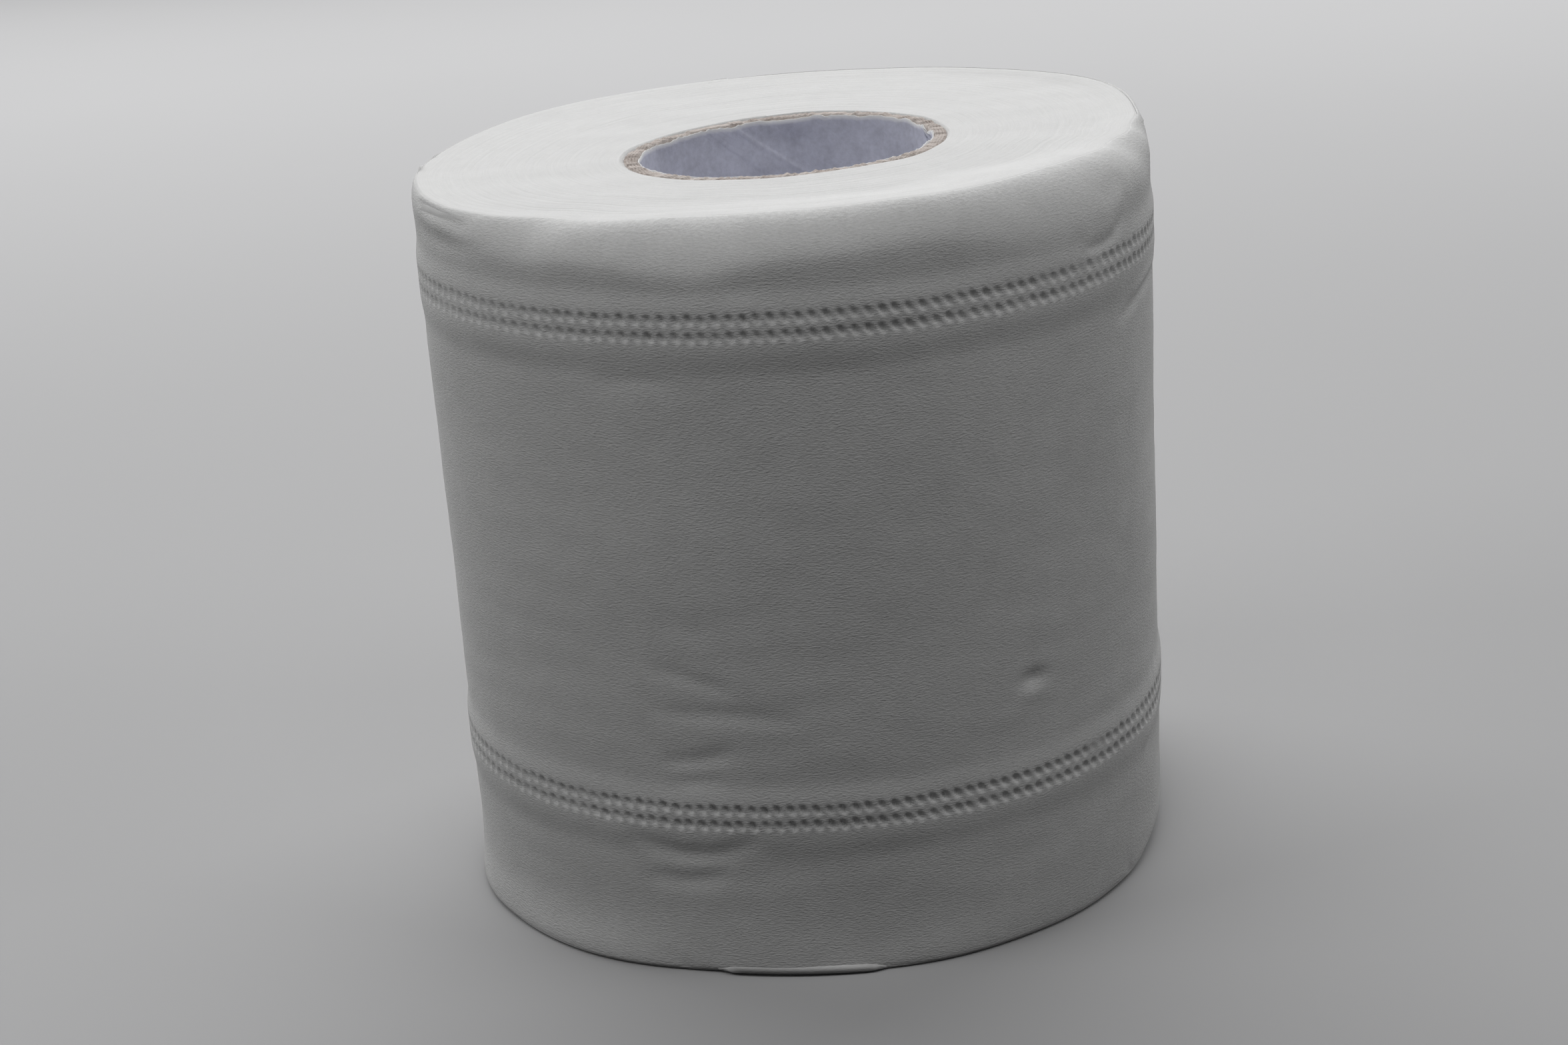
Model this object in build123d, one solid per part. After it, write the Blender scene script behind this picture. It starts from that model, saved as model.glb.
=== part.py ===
# A toilet paper roll, standing on its end. Millimetres, +Z up along the roll's axis, and the
# origin on that axis at the bottom end. The front of the roll faces -Y.
#
# The tissue is wound as a spiral, so the outer sheet stands one step proud at its loose end,
# which lies at the back. Two bands of pressed dents run right round it. Inside is a board tube,
# and inside that a thin paper lining.

import os
from math import cos, pi, radians, sin

from build123d import *

# The roll: its width is the height as it stands
roll_width = 104.0
roll_radius = 51.2           # at the loose end, where it is largest
loose_end_step = 0.35        # the sheet's thickness, as it lies on the turn below
loose_end_angle = 100.0      # degrees from +X, so at the back
rim_radius = 2.5             # the outer turns curl in at both ends

# The core
core_radius = 21.0
board_thickness = 1.6
lining_thickness = 0.4

# The turns that show on each end, as a shallow spiral groove
turn_spacing = 4.6
turn_margin = 1.2            # flat paper left beside the core and beside the rim
turn_groove_width = 0.7
turn_groove_depth = 0.3
turn_flats = 15              # flat sides in each half turn of the groove

# The pressed bands: each is two rows of slanted dents, lined up above each other
lower_band_height = 23.7
upper_band_height = 91.9
dent_row_spacing = 2.25
dent_pitch = 1.78
dent_width = 1.05
dent_height = 0.95
dent_slant = 0.3             # how far each dent's foot lies to the right of its head
dent_depth = 0.5

# The outside has flat sides, two dents wide, so many to each half turn
dents_per_flat = 2
side_flats = round(pi * roll_radius / (dents_per_flat * dent_pitch))


def polygon(points):
    """A flat face inside the given corners."""
    return Face(Wire.make_polygon([Vector(*point) for point in points], close=True))


def solid_through(sections):
    """A flat-sided solid: each section's corners are joined to the next section's."""
    faces = [polygon(sections[0]), polygon(sections[-1])]
    for near, far in zip(sections, sections[1:]):
        for i in range(len(near)):
            j = (i + 1) % len(near)
            faces.append(polygon([near[i], near[j], far[j], far[i]]))
    return Solid(Shell(faces))


def half_turn(number, outer_radius, pitch):
    """Centre and radius of one half turn of a two-centre spiral, counted from the outside in."""
    centre = pitch / 4 if number % 2 == 0 else -pitch / 4
    return centre, outer_radius - pitch / 4 - number * pitch / 2


def wound(profile, outer_radius, pitch, half_turns, flats):
    """Carries a profile along half turns of the spiral. It lists (inset, height) corners."""
    sections = []
    for number in half_turns:
        centre, radius = half_turn(number, outer_radius, pitch)
        # a half turn starts on the section where the last one ended
        for step in range(1 if sections else 0, flats + 1):
            angle = pi * (number + step / flats)
            sections.append([
                (centre + (radius - inset) * cos(angle), (radius - inset) * sin(angle), height)
                for inset, height in profile
            ])
    return solid_through(sections)


def wound_body():
    """The wound paper before it is marked: two half turns of the outer sheet, bored for the core."""
    # the rounded rim has two flats, so its middle corner lies on the arc at 45 degrees
    corner = rim_radius * (1 - sin(radians(45)))
    inside = roll_radius - core_radius / 2
    profile = [
        (inside, 0),
        (rim_radius, 0),
        (corner, corner),
        (0, rim_radius),
        (0, roll_width - rim_radius),
        (corner, roll_width - corner),
        (rim_radius, roll_width),
        (inside, roll_width),
    ]
    first, second = (
        wound(profile, roll_radius, loose_end_step, [number], side_flats) for number in (0, 1)
    )
    bore = Pos(0, 0, roll_width / 2) * Cylinder(core_radius, roll_width)
    return first + second - bore


def turn_grooves():
    """A V-shaped groove that winds in from the rim to the core, on each end."""
    groove_outer = roll_radius - loose_end_step - rim_radius - turn_margin - turn_groove_width / 2
    groove_inner = core_radius + turn_margin + turn_groove_width / 2
    count = int((groove_outer - groove_inner) / (turn_spacing / 2))
    # the cutter's mouth lies outside the end, where the V is as much wider
    above = turn_groove_depth
    half_mouth = turn_groove_width / 2 * (turn_groove_depth + above) / turn_groove_depth
    grooves = []
    for end, outward in ((0, -1), (roll_width, 1)):
        profile = [
            (-half_mouth, end + outward * above),
            (half_mouth, end + outward * above),
            (0, end - outward * turn_groove_depth),
        ]
        grooves.append(wound(profile, groove_outer, turn_spacing, range(count), turn_flats))
    return grooves


def dent_cutter():
    """One dent's cutter: a slanted pyramid that points in along -Z, with its base outside."""
    above = dent_depth / 2
    grow = (dent_depth + above) / dent_depth
    half_width, half_height = dent_width / 2, dent_height / 2
    base = [
        (-half_width - dent_slant, half_height),
        (half_width - dent_slant, half_height),
        (half_width + dent_slant, -half_height),
        (-half_width + dent_slant, -half_height),
    ]
    base = [(grow * x, grow * y, above) for x, y in base]
    point = (0, 0, -dent_depth)
    faces = [polygon(base)]
    faces += [polygon([base[i], base[(i + 1) % 4], point]) for i in range(4)]
    return Solid(Shell(faces))


def dent_cutters():
    """The cutter at every dent: rows of them on each flat side of the outer sheet."""
    cutter = dent_cutter()
    heights = [
        band + side * dent_row_spacing / 2
        for band in (lower_band_height, upper_band_height)
        for side in (-1, 1)
    ]
    cutters = []
    for number in (0, 1):
        centre, radius = half_turn(number, roll_radius, loose_end_step)
        half_angle = pi / side_flats / 2
        flat_distance = radius * cos(half_angle)
        spacing = 2 * radius * sin(half_angle) / dents_per_flat
        for flat in range(side_flats):
            angle = pi * number + (2 * flat + 1) * half_angle
            outward, right = (cos(angle), sin(angle)), (-sin(angle), cos(angle))
            for dent in range(dents_per_flat):
                along = (dent - (dents_per_flat - 1) / 2) * spacing
                x = centre + flat_distance * outward[0] + along * right[0]
                y = flat_distance * outward[1] + along * right[1]
                for height in heights:
                    place = Plane((x, y, height), x_dir=(*right, 0), z_dir=(*outward, 0))
                    cutters.append(cutter.moved(place.location))
    return cutters


def paper_roll():
    marked = wound_body().cut(*turn_grooves(), *dent_cutters())
    return Rot(0, 0, loose_end_angle) * marked


def tube(outer_radius, thickness):
    """A plain tube, as long as the roll is wide."""
    return Pos(0, 0, roll_width / 2) * (
        Cylinder(outer_radius, roll_width) - Cylinder(outer_radius - thickness, roll_width)
    )


def core_tube():
    return tube(core_radius, board_thickness)


def core_lining():
    return tube(core_radius - board_thickness, lining_thickness)


os.makedirs("parts", exist_ok=True)
for name, piece in (
    ("paper_roll", paper_roll()),
    ("core_tube", core_tube()),
    ("core_lining", core_lining()),
):
    export_step(piece, f"parts/{name}.step")
    print(name, round(piece.volume / 1000, 1), "cubic centimetres")
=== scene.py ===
import math

import bpy
import numpy as np
from mathutils import Matrix, Vector


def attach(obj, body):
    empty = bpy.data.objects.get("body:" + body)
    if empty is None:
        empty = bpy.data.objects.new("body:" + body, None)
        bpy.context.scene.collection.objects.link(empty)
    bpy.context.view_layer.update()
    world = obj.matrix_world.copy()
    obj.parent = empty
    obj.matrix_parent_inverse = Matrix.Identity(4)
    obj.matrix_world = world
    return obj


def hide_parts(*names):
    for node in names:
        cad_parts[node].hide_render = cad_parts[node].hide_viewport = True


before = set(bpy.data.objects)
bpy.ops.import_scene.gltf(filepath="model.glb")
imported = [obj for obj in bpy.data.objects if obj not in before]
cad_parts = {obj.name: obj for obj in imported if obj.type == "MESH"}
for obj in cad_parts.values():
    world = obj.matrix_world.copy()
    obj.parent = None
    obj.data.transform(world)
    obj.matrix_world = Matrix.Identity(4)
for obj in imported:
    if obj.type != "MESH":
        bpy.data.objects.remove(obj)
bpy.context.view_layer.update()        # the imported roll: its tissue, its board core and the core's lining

mm = 0.001               # every size below is in millimetres
twoPi = 2 * math.pi
print("frame loaded")

# What the pieces share: the roll's size, and how far it is pressed out of round
rollShape = dict(
    height=104.0,
    radius=50.8,             # at the loose end
    sheetThickness=0.35,
    looseEndAngle=100.0,     # degrees from +X, so at the back
    coreRadius=21.0,
    boardThickness=1.6,
    # the ovals: (the squash as a share of the radius, the degrees along which it is longest,
    # three soft lobes as such a share, the degrees at which one of them lies)
    outside=(0.0265, 40.7, 0.0294, 77.8),
    core=(0.0964, 22.5, 0.0168, 82.9),
    # where it is squeezed further out, as (degrees, half width in degrees, how far)
    bulges=((32, 22, 4.6), (62, 10, 0.5), (135, 24, 2.8)),
    # and its foot spreads over the last few millimetres: (degrees, how far)
    footSpread=((180, 0), (206, 1), (228, 1.5), (252, 0.5), (282, 0.7),
                (305, 0.1), (320, 0)),
    footSpreadHeight=5.0,
)

# The rims: the outer turns curl in over a quarter of a superellipse. The top's is a wide soft
# shoulder at the front and narrow at the back: (degrees, how far across, how high)
rimShape = dict(
    power=1.8,
    top=((5, 1, 2.2), (35, 0.9, 1.5), (100, 1.1, 1.4), (160, 0.6, 0.9),
         (184, 0.5, 1.1), (197, 1.1, 3), (207, 1.6, 3.6), (217, 2.8, 4.2),
         (231, 6.4, 5.2), (250, 7.6, 7), (270, 6.6, 5.6), (290, 5.4, 5.2),
         (310, 6.7, 7.8), (325, 7.2, 7.4), (341, 5.9, 5.8), (353, 2.8, 4)),
    bottom=((0, 2.6, 3.3), (40, 1.2, 1.6), (80, 0.8, 1), (238, 0.8, 1),
            (255, 0.8, 1.4), (266, 0.8, 1.3), (282, 0.8, 1), (312, 0.8, 1),
            (326, 1.2, 1.6), (340, 2.6, 3.3)),
    unevenness=0.06,
    # the outer turns stand up a little at the front and the back right: (degrees, how high,
    # over how many millimetres they rise)
    lift=((30, 0.4, 5), (80, 0, 5), (230, 0, 9), (250, 0.5, 11),
          (270, 1.1, 13), (290, 1.5, 13), (310, 1.2, 13), (326, 0.9, 11),
          (344, 0.3, 7)),
    stripFrom=251.0,         # between these angles inner turns show under the sheet's foot
    stripTo=277.0,
)


def bell(distance, width):
    # one in the middle, falling as exp(-(distance / width) squared)
    return np.exp(-((distance / width) ** 2))


def ramp(value, low, high):
    # nothing below low, one above high, and 3t squared - 2t cubed between
    t = np.clip((value - low) / (high - low), 0, 1)
    return t * t * (3 - 2 * t)


def apart(theta, angle):
    # how many degrees it lies past an angle, the short way round
    return (np.degrees(theta) - angle + 180) % 360 - 180


def bellRound(theta, angle, width):
    return bell(apart(theta, angle), width)


def ringWave(theta, seed, lowest, highest):
    # a sum of cosines that close on themselves round the ring, with random phases and weights
    draw = np.random.default_rng(seed)
    orders = np.arange(lowest, highest + 1)
    phases = draw.uniform(0, twoPi, len(orders))
    weights = draw.normal(size=len(orders))
    weights /= np.sqrt((weights ** 2).sum() / 2)
    total = np.zeros(np.shape(theta))
    for order, phase, weight in zip(orders, phases, weights):
        total += weight * np.cos(order * theta + phase)
    return total


def ripple(across, up, seed, count, shortest, longest):
    # a sum of sine waves over a sheet, each with a random heading, length and phase
    draw = np.random.default_rng(seed)
    total = np.zeros(np.broadcast(across, up).shape)
    for _ in range(count):
        length, heading, phase = draw.uniform((shortest, 0, 0), (longest, math.pi, twoPi))
        along = across * math.cos(heading) + up * math.sin(heading)
        total += np.sin(twoPi * along / length + phase)
    return total / math.sqrt(count / 2)


def oval(theta, name):
    # one plus a two-fold and a three-fold cosine
    squash, squashAngle, lobes, lobeAngle = rollShape[name]
    return (1 + squash * np.cos(2 * (theta - math.radians(squashAngle)))
            + lobes * np.cos(3 * (theta - math.radians(lobeAngle))))


def outsideRadius(theta, radius):
    # the radius times the oval, and the bulges on top of it
    radius = radius * oval(theta, "outside")
    for angle, width, far in rollShape["bulges"]:
        radius = radius + far * bellRound(theta, angle, width)
    return radius


def aroundRing(theta, knots):
    # goes smoothly from each knot's values to the next one's, and round again
    at = np.array([knot[0] for knot in knots])
    values = np.array([knot[1:] for knot in knots])
    at, values = np.append(at, at[0] + 360), np.vstack([values, values[:1]])
    past = (np.degrees(theta) - at[0]) % 360 + at[0]
    first = np.clip(np.searchsorted(at, past, side="right") - 1, 0, len(at) - 2)
    share = ramp(past, at[first], at[first + 1])
    return [values[first, i] + share * (values[first + 1, i] - values[first, i])
            for i in range(values.shape[1])]


def rimSize(theta, isTop):
    # how far across and how high a rim's curve is, a little uneven round the roll
    across, high = aroundRing(theta, rimShape["top" if isTop else "bottom"])
    wave = ringWave(theta, 5, 4, 12) if isTop else ringWave(theta, 6, 2, 9)
    wave = 1 + rimShape["unevenness"] * wave
    return across * wave, high * wave


def footSpread(theta, z):
    # it falls off upwards as a bell
    far, = aroundRing(theta, rollShape["footSpread"])
    return far * bell(z, rollShape["footSpreadHeight"])


def footStrip(theta):
    # one where inner turns show under the sheet's foot, and nothing elsewhere
    return (ramp(apart(theta, rimShape["stripFrom"]), -2.5, 2.5)
            * ramp(-apart(theta, rimShape["stripTo"]), -2.5, 2.5))


def quads(index):
    # four-cornered faces over a grid of vertex numbers: rows run up, columns to the right
    corners = [index[:-1, :-1], index[:-1, 1:], index[1:, 1:], index[1:, :-1]]
    return np.stack(corners, axis=-1).reshape(-1, 4)


def zipRows(low, high, lowAt, highAt):
    # triangles between two rows of vertices, each of which says how far along it lies
    isLow = np.concatenate([np.ones(len(low) - 1, bool), np.zeros(len(high) - 1, bool)])
    order = np.argsort(np.concatenate([lowAt[1:], highAt[1:]]), kind="stable")
    isLow = isLow[order]
    i = np.cumsum(isLow) - isLow
    j = np.cumsum(~isLow) - ~isLow
    ahead = np.where(isLow, low[np.minimum(i + 1, len(low) - 1)],
                     high[np.minimum(j + 1, len(high) - 1)])
    return np.stack([low[i], ahead, high[j]], axis=-1)


def ringPoints(radius, theta, z):
    # the points at a distance from the axis, an angle round it and a height
    return np.stack([radius * np.cos(theta), radius * np.sin(theta), z], axis=-1)


def addObject(name, data):
    thing = bpy.data.objects.new(name, data)
    bpy.context.scene.collection.objects.link(thing)
    return thing


def makePiece(name, points, faces, places, material, replaced=None):
    # points in millimetres, faces as arrays with one row to a face. Places are what the
    # materials read as each point's own, and they are in millimetres too.
    mesh = bpy.data.meshes.new(name)
    corners = np.concatenate([part.ravel() for part in faces])
    sizes = np.concatenate([np.full(len(part), part.shape[1]) for part in faces])
    mesh.vertices.add(points.size // 3)
    mesh.vertices.foreach_set("co", (points * mm).astype(np.float32).ravel())
    mesh.loops.add(len(corners))
    mesh.loops.foreach_set("vertex_index", corners.astype(np.int32))
    mesh.polygons.add(len(sizes))
    mesh.polygons.foreach_set("loop_start", (np.cumsum(sizes) - sizes).astype(np.int32))
    mesh.polygons.foreach_set("use_smooth", np.ones(len(sizes), bool))
    mesh.update(calc_edges=True)
    layer = mesh.attributes.new("place", "FLOAT_VECTOR", "POINT")
    layer.data.foreach_set("vector", (places * mm).astype(np.float32).ravel())
    mesh.validate()
    mesh.materials.append(material)
    piece = addObject(name, mesh)
    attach(piece, "root")
    if replaced:
        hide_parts(replaced)
    print(name, "has", int((sizes - 2).sum()), "triangles")


# Materials: two effects that several of them use, then one material for each finish
def newGroup(name, inputs, outputs):
    group = bpy.data.node_groups.new(name, "ShaderNodeTree")
    for label, kind, value in inputs:
        socket = group.interface.new_socket(label, in_out="INPUT", socket_type=kind)
        if value is not None:
            socket.default_value = value
    for label, kind in outputs:
        group.interface.new_socket(label, in_out="OUTPUT", socket_type=kind)
    return group, group.nodes.new("NodeGroupInput"), group.nodes.new("NodeGroupOutput")


def addNode(tree, kind, inputs=None, **settings):
    # inputs are values to set, or sockets to link from
    node = tree.nodes.new(kind)
    for key, value in settings.items():
        setattr(node, key, value)
    for key, value in (inputs or {}).items():
        if isinstance(value, bpy.types.NodeSocket):
            tree.links.new(value, node.inputs[key])
        else:
            node.inputs[key].default_value = value
    return node


def addMath(tree, operation, first, second=0.0):
    return addNode(tree, "ShaderNodeMath", {0: first, 1: second}, operation=operation).outputs[0]


def addShares(tree, first, firstShare, second, secondShare):
    # the sum of two values, each times its share
    return addMath(tree, "ADD", addMath(tree, "MULTIPLY", first, firstShare),
                   addMath(tree, "MULTIPLY", second, secondShare))


def addNoise(tree, place, scale, detail=2.0, roughness=0.5):
    settings = {"Vector": place, "Scale": scale, "Detail": detail, "Roughness": roughness}
    return addNode(tree, "ShaderNodeTexNoise", settings).outputs["Fac"]


def addStretch(tree, place, scale, turn=0.0):
    settings = {"Vector": place, "Scale": scale, "Rotation": (0, 0, math.radians(turn))}
    return addNode(tree, "ShaderNodeMapping", settings).outputs["Vector"]


def addRamp(tree, value, stops):
    # a colour that goes from stop to stop, each of them a value and its colour
    node = addNode(tree, "ShaderNodeValToRGB", {"Fac": value})
    stripe = node.color_ramp
    while len(stripe.elements) < len(stops):
        stripe.elements.new(0.5)
    for element, (at, colour) in zip(stripe.elements, stops):
        element.position = at
        element.color = (*colour, 1.0)
    return node.outputs["Color"]


def inMillimetres(group, place):
    # the mesh gives metres, and the noise is worked out in millimetres
    return addNode(group, "ShaderNodeVectorMath", {0: place, "Scale": 1 / mm},
                   operation="SCALE").outputs[0]


def crepeGroup():
    # short flecks that lie round the roll, finer fibres between them, and a soft cloud
    group, inner, outer = newGroup(
        "tissueCrepe",
        [("Place", "NodeSocketVector", None), ("Length", "NodeSocketFloat", 0.75),
         ("Cloud", "NodeSocketFloat", 0.5)],
        [("Height", "NodeSocketFloat"), ("Shade", "NodeSocketFloat")],
    )
    place = inMillimetres(group, inner.outputs["Place"])
    shorter = addMath(group, "DIVIDE", 1.0, inner.outputs["Length"])
    flecks = addNoise(group, addStretch(group, place, (1.0, 3.1, 3.1), 9.0), shorter, 2.0, 0.6)
    fibres = addNoise(group, addStretch(group, place, (1.6, 4.4, 4.4), -24.0), shorter, 2.0, 0.6)
    cloud = addNoise(group, place, 0.3)
    grain = addShares(group, flecks, 0.62, fibres, 0.38)
    soft = addMath(group, "MULTIPLY", cloud, inner.outputs["Cloud"])
    group.links.new(addMath(group, "ADD", grain, soft), outer.inputs["Height"])
    group.links.new(addShares(group, grain, 0.75, cloud, 0.25), outer.inputs["Shade"])
    return group


def pulpGroup():
    # the uneven fibres of pressed board and paper, the same all over
    group, inner, outer = newGroup(
        "paperPulp",
        [("Place", "NodeSocketVector", None), ("Size", "NodeSocketFloat", 0.5)],
        [("Height", "NodeSocketFloat"), ("Shade", "NodeSocketFloat")],
    )
    place = inMillimetres(group, inner.outputs["Place"])
    finer = addMath(group, "DIVIDE", 1.0, inner.outputs["Size"])
    fine = addNoise(group, place, finer, 4.0, 0.65)
    broad = addNoise(group, place, addMath(group, "MULTIPLY", finer, 0.18))
    group.links.new(fine, outer.inputs["Height"])
    group.links.new(addShares(group, fine, 0.5, broad, 0.5), outer.inputs["Shade"])
    return group


tissueCrepe = crepeGroup()
paperPulp = pulpGroup()


def newMaterial(name, roughness, sheen=0.0):
    material = bpy.data.materials.new(name)
    material.use_nodes = True
    shader = material.node_tree.nodes["Principled BSDF"]
    shader.inputs["Roughness"].default_value = roughness
    shader.inputs["Specular IOR Level"].default_value = 0.2
    shader.inputs["Sheen Weight"].default_value = sheen
    shader.inputs["Sheen Roughness"].default_value = 0.6
    return material, material.node_tree


def meshPlace(tree):
    return addNode(tree, "ShaderNodeAttribute", attribute_name="place").outputs["Vector"]


def objectPlace(tree):
    return addNode(tree, "ShaderNodeTexCoord").outputs["Object"]


def useGroup(tree, group, **inputs):
    return addNode(tree, "ShaderNodeGroup", inputs, node_tree=group).outputs


def partX(tree, vector):
    return addNode(tree, "ShaderNodeSeparateXYZ", {"Vector": vector}).outputs["X"]


def mixColours(tree, share, first, second):
    # the first colour where the share is nothing, and the second where it is one
    return addNode(tree, "ShaderNodeMix", {0: share, 6: first, 7: second},
                   data_type="RGBA").outputs[2]


def finish(material, colour, height=None, depth=0.0):
    # the depth is how many millimetres the bump's height stands for
    tree = material.node_tree
    shader = tree.nodes["Principled BSDF"]
    tree.links.new(colour, shader.inputs["Base Color"])
    if height is not None:
        bump = addNode(tree, "ShaderNodeBump", {"Height": height, "Distance": depth * mm})
        tree.links.new(bump.outputs["Normal"], shader.inputs["Normal"])
    return material


tissueLook = dict(
    thin=(0.76, 0.76, 0.755),    # the tissue's colour where it is thinnest
    thick=(0.88, 0.88, 0.875),
    grainLength=0.75,
    grainDepth=0.15,
    turnDepth=0.05,
)


def sheetMaterial():
    material, tree = newMaterial("tissueSheet", 0.94, 0.06)
    crepe = useGroup(tree, tissueCrepe, Place=meshPlace(tree),
                     Length=tissueLook["grainLength"], Cloud=0.3)
    colour = addRamp(tree, crepe["Shade"],
                     [(0.36, tissueLook["thin"]), (0.62, tissueLook["thick"])])
    return finish(material, colour, crepe["Height"], tissueLook["grainDepth"])


def turnsMaterial():
    # place holds the turn's number, so streaks run along the turns and differ from one to the next
    material, tree = newMaterial("tissueTurns", 0.95, 0.06)
    solid = objectPlace(tree)
    crepe = useGroup(tree, tissueCrepe, Place=solid, Length=0.6, Cloud=0.4)
    around = addNode(tree, "ShaderNodeSeparateXYZ",
                     {"Vector": addStretch(tree, solid, (140, 140, 140))}).outputs
    along = addNode(tree, "ShaderNodeCombineXYZ",
                    {"X": addMath(tree, "MULTIPLY", partX(tree, meshPlace(tree)), 4200),
                     "Y": around["X"], "Z": around["Y"]}).outputs["Vector"]
    streaks = addNoise(tree, along, 1.0, 3.0, 0.6)
    height = addShares(tree, crepe["Height"], 0.8, streaks, 0.6)
    shade = addShares(tree, crepe["Shade"], 0.6, streaks, 0.4)
    colour = addRamp(tree, shade, [(0.30, tissueLook["thin"]), (0.64, tissueLook["thick"])])
    return finish(material, colour, height, tissueLook["turnDepth"])


boardLook = dict(
    dark=(0.33, 0.27, 0.24),
    middle=(0.60, 0.53, 0.49),
    light=(0.76, 0.70, 0.66),
    plies=4.0,
    plyShade=0.06,
    fibreDepth=0.12,
)


def boardMaterial():
    # place holds how far through the wall, the way round and the height
    material, tree = newMaterial("coreBoardCut", 0.92)
    place = meshPlace(tree)
    pulp = useGroup(tree, paperPulp, Place=objectPlace(tree), Size=0.32)
    # the glued plies, as stretched streaks that run round the tube
    wander = addNoise(tree, addStretch(tree, place, (200, 260, 260)), 1.0, 3.0, 0.6)
    plyAt = addShares(tree, partX(tree, place), boardLook["plies"] * twoPi / mm, wander, 5.0)
    plies = addMath(tree, "MULTIPLY", addMath(tree, "SINE", plyAt), boardLook["plyShade"])
    shade = addMath(tree, "ADD", pulp["Shade"], plies)
    colour = addRamp(tree, shade, [(0.30, boardLook["dark"]), (0.47, boardLook["middle"]),
                                   (0.66, boardLook["light"])])
    return finish(material, colour, addMath(tree, "ADD", pulp["Height"], plies),
                  boardLook["fibreDepth"])


# The lining paper is white: both of its colours are painted shade, the bluish grey it takes deep in the
# bore, and they differ only by a random mottle. Its pale cut edge is the paper's own white.
liningLook = dict(
    darkMottleInPaintedShade=(0.58, 0.585, 0.66),
    lightMottleInPaintedShade=(0.745, 0.755, 0.85),
    edge=(0.86, 0.86, 0.86, 1.0),
    fibreDepth=0.05,
)


def liningMaterial():
    # place holds how near the cut edge it is, the way round and the height
    material, tree = newMaterial("coreLiningPaper", 0.85)
    pulp = useGroup(tree, paperPulp, Place=objectPlace(tree), Size=0.8)
    # painted shade: white paper coloured bluish grey, mottled at random between the two stops
    colour = addRamp(tree, pulp["Shade"], [(0.34, liningLook["darkMottleInPaintedShade"]),
                                           (0.60, liningLook["lightMottleInPaintedShade"])])
    nearEdge = addMath(tree, "MULTIPLY", partX(tree, meshPlace(tree)), 1 / mm)
    colour = mixColours(tree, nearEdge, colour, liningLook["edge"])
    return finish(material, colour, pulp["Height"], liningLook["fibreDepth"])


tissueSheet = sheetMaterial()
tissueTurns = turnsMaterial()
coreBoardCut = boardMaterial()
coreLiningPaper = liningMaterial()
print("materials made")

# The outer sheet: one turn of tissue round the roll, with all that is pressed into it
sheetShape = dict(
    hiddenInset=1.3,         # its unseen inner side lies this deep
    edgeThickness=0.3,
    edgeSink=0.015,          # and its edges sink so far into the turns
    # specks of torn paper that stand up on its upper edge: (degrees, half width, height)
    tornSpecks=((181, 1.3, 0.5), (172.6, 0.6, 0.4)),
    dentsRound=180,
    tuckedDents=2,           # it goes on under its own loose end by so many dents
    tuckSlope=16.0,          # and dives by so many millimetres for each radian there
    columnsPerDent=7,        # in the bands
    coarseColumns=2,         # and elsewhere
    topEdgeShare=0.93,       # the sheet curls in over this share of the top rim's width
    bottomEdgeTurn=74.0,     # and goes round the bottom rim's curve by so many degrees
    stripEdgeTurn=69.0,      # which is so much less where inner turns show
    looseLift=0.45,          # the loose end stands off by this much
    looseLiftLength=3.5,
    looseRaggedness=0.18,
    softWaves=0.06,          # how uneven the side is, broadly and finely
    fineWaves=0.016,
    sideFrom=1.6,            # the side's rows lie between these heights
    sideTo=98.6,
    riseTo=12.0,             # below here they go up where the bottom rim is higher than
    usualRim=1.0,            # this
    spreadFrom=94.4,         # and from here on they are spread to reach the top rim,
    lowestRim=95.6,          # which begins no lower than this,
    rimGap=0.5,              # but for this gap
    bandReach=2.0,           # rows lie close together this far up and down from a band's middle
    bandGap=0.5,
    bandRows=19,
    hiddenRows=(99, 95, 80, 64, 48, 32, 16, 7, 5),
    hiddenEnds=0.6,          # the first and the last of these lie at this share of the depth
    thinning=(2, 14),        # so near the loose end the unseen side comes up to its thickness
    # shares of the way round a rim at which the relief begins to fade, the edge to sink and
    # the specks to rise
    fadeFrom=0.5,
    sinkFrom=0.85,
    speckFrom=0.75,
    topEdgeWave=0.012,       # how uneven the edges are, as a share of the rim and in degrees
    bottomEdgeWave=3.0,
)

bandShape = dict(
    heights=(23.7, 91.9),
    rowSpacing=2.25,
    dentWidth=1.26,
    dentHeight=1.62,
    dentSlant=0.34,          # how far a dent shifts to the right for each millimetre down
    dentDepth=0.48,
    depthShares=(0.97, 0.76), # of that depth, in the lower band and in the upper one
    depthSpread=0.14,
    # they are shallower in some places: (degrees, half width in degrees, share less)
    shallow=((202, 22, 0.40), (348, 12, 0.42)),
    # and single ones are weak: (degrees, the row's height)
    weakDents=((315.5, 93), (320.9, 93), (316.6, 24.8), (318.6, 24.8)),
    weakDepth=0.3,
    placeSpread=0.05,
    swell=0.36,              # the pressed paper is bulkier, so each band stands out
    swellBelow=(-6.8, -2.6), # it rises between these heights from the band's middle
    swellAbove=(1.9, 5.2),   # and falls between these
)

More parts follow.
